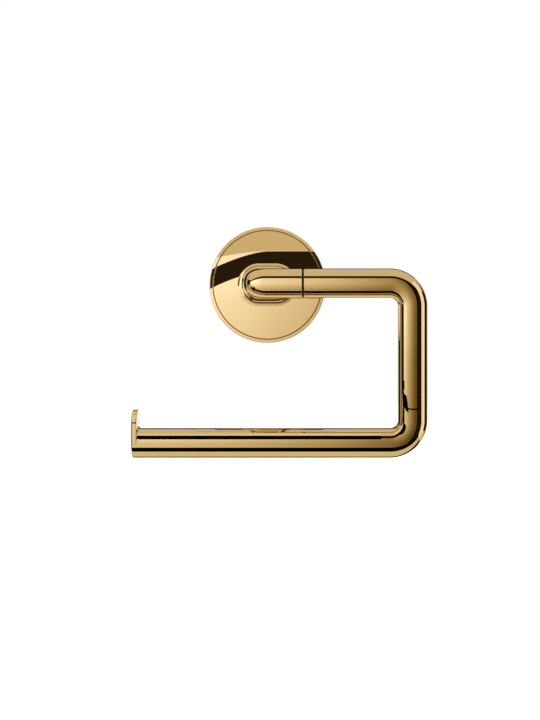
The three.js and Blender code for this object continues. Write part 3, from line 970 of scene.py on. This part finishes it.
def scrim_material(fade_x, fade_z):
    """Thin warm gauze: clear at the left and top, denser to the right and below."""
    material = bpy.data.materials.new("scrim")
    material.use_nodes = True
    tree = material.node_tree
    tree.nodes.clear()
    where = tree.nodes.new("ShaderNodeTexCoord")
    parts = tree.nodes.new("ShaderNodeSeparateXYZ")
    tree.links.new(where.outputs["Object"], parts.inputs["Vector"])
    shades = []
    for axis, fade in (("X", fade_x), ("Z", fade_z)):
        start, end = fade[0][0], fade[-1][0]
        ranged = tree.nodes.new("ShaderNodeMapRange")
        ranged.inputs["From Min"].default_value = start
        ranged.inputs["From Max"].default_value = end
        ramp = tree.nodes.new("ShaderNodeValToRGB")
        while len(ramp.color_ramp.elements) < len(fade):
            ramp.color_ramp.elements.new(0.5)
        for element, (place, clear) in zip(ramp.color_ramp.elements, fade):
            element.position = (place - start) / (end - start)
            element.color = (clear, clear ** 1.2, clear ** 1.75, 1)
        tree.links.new(parts.outputs[axis], ranged.inputs["Value"])
        tree.links.new(ranged.outputs["Result"], ramp.inputs["Fac"])
        shades.append(ramp.outputs["Color"])
    both = tree.nodes.new("ShaderNodeVectorMath")
    both.operation = "MULTIPLY"
    tree.links.new(shades[0], both.inputs[0])
    tree.links.new(shades[1], both.inputs[1])
    gauze = tree.nodes.new("ShaderNodeBsdfTransparent")
    output = tree.nodes.new("ShaderNodeOutputMaterial")
    tree.links.new(both.outputs["Vector"], gauze.inputs["Color"])
    tree.links.new(gauze.outputs["BSDF"], output.inputs["Surface"])
    return material


def flag(name, outline, y, radiance):
    """A flat shape between the arm and the rose, from its corners (x, z)."""
    mesh = bpy.data.meshes.new(name)
    shape = bmesh.new()
    corners = [shape.verts.new((x, y, z)) for x, z in outline]
    shape.faces.new(corners)
    shape.to_mesh(mesh)
    shape.free()
    sheet = bpy.data.objects.new(name, mesh)
    bpy.context.collection.objects.link(sheet)
    hang(sheet, radiance)


class HOLDER_OT_studio(bpy.types.Operator):
    """Set the pale floor, the soft panels, the white surround and the camera"""
    bl_idname = "holder.studio"
    bl_label = "Studio"

    def execute(self, context):
        self.surround()
        self.floor()
        self.panels()
        self.scrim_and_flags()
        self.camera()
        context.scene.view_settings.view_transform = "Standard"
        return {"FINISHED"}

    def surround(self):
        """White to the eye, soft to dull surfaces, nearly black in the polish."""
        world = bpy.data.worlds.new("studio")
        bpy.context.scene.world = world
        world.use_nodes = True
        tree = world.node_tree
        tree.nodes.clear()
        rays = tree.nodes.new("ShaderNodeLightPath")
        looks = []
        for radiance in ((0.55, 0.55, 0.55), (0.012, 0.010, 0.006), (1, 1, 1)):
            look = tree.nodes.new("ShaderNodeBackground")
            look.inputs["Color"].default_value = (*radiance, 1)
            looks.append(look.outputs["Background"])
        result = looks[0]
        for kind, look in (("Is Glossy Ray", looks[1]), ("Is Camera Ray", looks[2])):
            mix = tree.nodes.new("ShaderNodeMixShader")
            tree.links.new(rays.outputs[kind], mix.inputs["Fac"])
            tree.links.new(result, mix.inputs[1])
            tree.links.new(look, mix.inputs[2])
            result = mix.outputs["Shader"]
        output = tree.nodes.new("ShaderNodeOutputWorld")
        tree.links.new(result, output.inputs["Surface"])

    def floor(self):
        floor = flat_sheet("floor", (0, 0, -0.36), (0, 0, 0), 8, 8)
        material, shader = new_material("pale_floor", (0.95, 0.95, 0.95), 0, 0.7)
        tree = material.node_tree
        vary_roughness(tree, shader, noise(tree, 40 * MM), 0.6, 0.8)
        shader.inputs["Emission Color"].default_value = (1, 1, 1, 1)
        shader.inputs["Emission Strength"].default_value = 0.7
        floor.data.materials.append(material)
        floor.visible_glossy = False

    def panels(self):
        black, pale, tan = (0, 0, 0), (0.75, 0.75, 0.75), (0.68, 0.63, 0.43)
        panel("front_panel", "Y", -1.266, (-5.5, 0.76), (-2.36, 0.945), (1.357, 1.415, 1.583))
        panel("top_panel", "Z", 1.2, (-3, 3), (-0.86, 1.45), (0.656, 0.59, 0.458))
        panel("low_panel", "Z", -1.2, (-3, 3), (-0.03, 0.5), (0.45, 0.36, 0.22))
        panel("low_back_panel", "Z", -1.2, (-3, 3), (0.5, 2), (0.75, 0.68, 0.5))
        panel("right_panel", "X", 1.2, (-0.50, 0.16), (-1.1, 1.1), (1.0, 0.95, 0.85))
        panel("right_back_panel", "X", 1.2, (1.7, 2.6), (-1.1, 1.1), (1.0, 0.95, 0.85))
        panel("left_panel", "X", -1.2, (0.22, 0.60), (-1.1, 1.1), (0.42, 0.37, 0.28))
        panel("left_back_panel", "X", -1.2, (2.0, 2.8), (-1.1, 1.1), (1.0, 0.95, 0.85))
        panel("back_panel_centre", "Y", 2.1, (0.05, 0.5), (-0.6, 0.02), (1.0, 0.98, 0.92))
        panel("stop_flag", "X", -0.085, (-0.125, -0.0775), (-0.090, -0.055), black)
        panel("foot_panel", "Z", -0.3, (-0.15, 0.15), (-0.06, 0.0), (0.8, 0.68, 0.45))
        panel("left_low_panel", "X", -1.2, (-0.25, 0.05), (-0.65, -0.22), (0.6, 0.54, 0.42))
        panel("back_panel_right", "Y", 2.1, (0.7, 1.2), (-0.8, 1.0), (0.6, 0.55, 0.45))
        panel("back_panel_left", "Y", 2.1, (-1.2, -0.7), (-0.8, 1.0), (0.6, 0.55, 0.45))
        over_bar, under_bar = (-0.0605, 0.057), (-0.075, 0.095)
        over_stop = (-0.075, -0.0605)
        near_strip("dark_above_bar", (-0.0805, -0.0541), (-0.0897, -0.0628), black, over_bar)
        near_strip("pale_above_bar", (-0.0732, -0.0511), (-0.0804, -0.0540), pale, over_bar)
        near_strip("dark_above_stop", (-0.0869, -0.0602), (-0.0897, -0.0628), black, over_stop)
        near_strip("pale_above_stop", (-0.0732, -0.0511), (-0.0868, -0.0601), pale, over_stop)
        near_strip("leg_line", (-0.0880, -0.0603), (-0.0872, -0.0610), black, (0.05, 0.084))
        near_strip("dark_below_bar", (-0.0796, -0.0817), (-0.0750, -0.0862), black, under_bar)
        near_strip("tan_below_bar", (-0.0749, -0.0863), (-0.0636, -0.0889), tan, under_bar)
        near_strip("edge_below_bar", (-0.0635, -0.0890), (-0.0450, -0.0900), black, under_bar)

    def scrim_and_flags(self):
        fade_x = [(-0.070, 1.0), (-0.037, 0.90), (-0.016, 0.825), (0.005, 0.717), (0.029, 0.583),
                  (0.041, 0.50), (0.054, 0.40), (0.069, 0.283), (0.090, 0.167)]
        fade_z = [(-0.083, 0.55), (-0.04, 0.69), (-0.029, 0.79), (-0.008, 0.87), (0, 0.95)]
        scrim = flat_sheet("scrim", (-0.065, -0.136, -0.0725), (QUARTER, 0, 0), 0.37, 0.255)
        scrim.data.materials.append(scrim_material(fade_x, fade_z))
        scrim.visible_camera = False
        y = -0.050

        def on_flag(x, z):
            return (1.0585 * x - 1.44) * MM, (1.0585 * z + 0.58) * MM

        steps = range(-34, 36, 2)
        brow = [(x, 17.4 - 7.9 * (max(0, -x) / 26.2) ** 1.5) for x in steps]
        band = [on_flag(x, z) for x, z in brow]
        band += [on_flag(x, z - 9.9) for x, z in reversed(brow)]
        flag("dark_band", band, y, radiance=(0.02, 0.015, 0.008))
        line = [(x, 17.7 - 4.1 * (max(0, -x) / 30) ** 1.4) for x in steps]
        above = [on_flag(x, z) for x, z in line] + [on_flag(34, 34), on_flag(-34, 34)]
        flag("tan_brow", above, y - 0.0005, radiance=(0.65, 0.585, 0.42))

    def camera(self):
        bpy.ops.object.camera_add(location=(0.0247, -0.710, -0.0099), rotation=(QUARTER, 0, 0))
        camera = bpy.context.object
        camera.data.lens = 67.65
        camera.data.sensor_width = 36
        camera.data.shift_x = -0.0625
        camera.data.shift_y = -0.0778
        camera.data.clip_start = 0.01
        bpy.context.scene.camera = camera


# ---- Panel, registration and run ----

PIECE_OPERATORS = (
    HOLDER_OT_rose,
    HOLDER_OT_post,
    HOLDER_OT_arm,
    HOLDER_OT_end_stop,
    HOLDER_OT_washer,
    HOLDER_OT_small_screws,
    HOLDER_OT_wall_fixings,
    HOLDER_OT_bracket,
    HOLDER_OT_hidden_fittings,
    HOLDER_OT_studio,
)


class HOLDER_PT_panel(bpy.types.Panel):
    """Lists the holder's sizes, finishes and pieces"""
    bl_idname = "HOLDER_PT_panel"
    bl_label = "Toilet Paper Holder"
    bl_space_type = "VIEW_3D"
    bl_region_type = "UI"
    bl_category = "Holder"

    def draw(self, context):
        scene = context.scene
        for title, group in (("Sizes", scene.holder_sizes), ("Finishes", scene.holder_finish)):
            box = self.layout.box()
            box.label(text=title)
            for field in group.__annotations__:
                box.prop(group, field)
        column = self.layout.column(align=True)
        for operator in PIECE_OPERATORS:
            column.operator(operator.bl_idname)


CLASSES = (HolderSizes, HolderFinish, *PIECE_OPERATORS, HOLDER_PT_panel)


def register():
    for item in CLASSES:
        bpy.utils.register_class(item)
    bpy.types.Scene.holder_sizes = bpy.props.PointerProperty(type=HolderSizes)
    bpy.types.Scene.holder_finish = bpy.props.PointerProperty(type=HolderFinish)


def unregister():
    del bpy.types.Scene.holder_finish
    del bpy.types.Scene.holder_sizes
    for item in reversed(CLASSES):
        bpy.utils.unregister_class(item)


def main():
    register()
    for operator in PIECE_OPERATORS:
        getattr(bpy.ops.holder, operator.bl_idname.split(".")[1])()


if __name__ == "__main__":
    main()
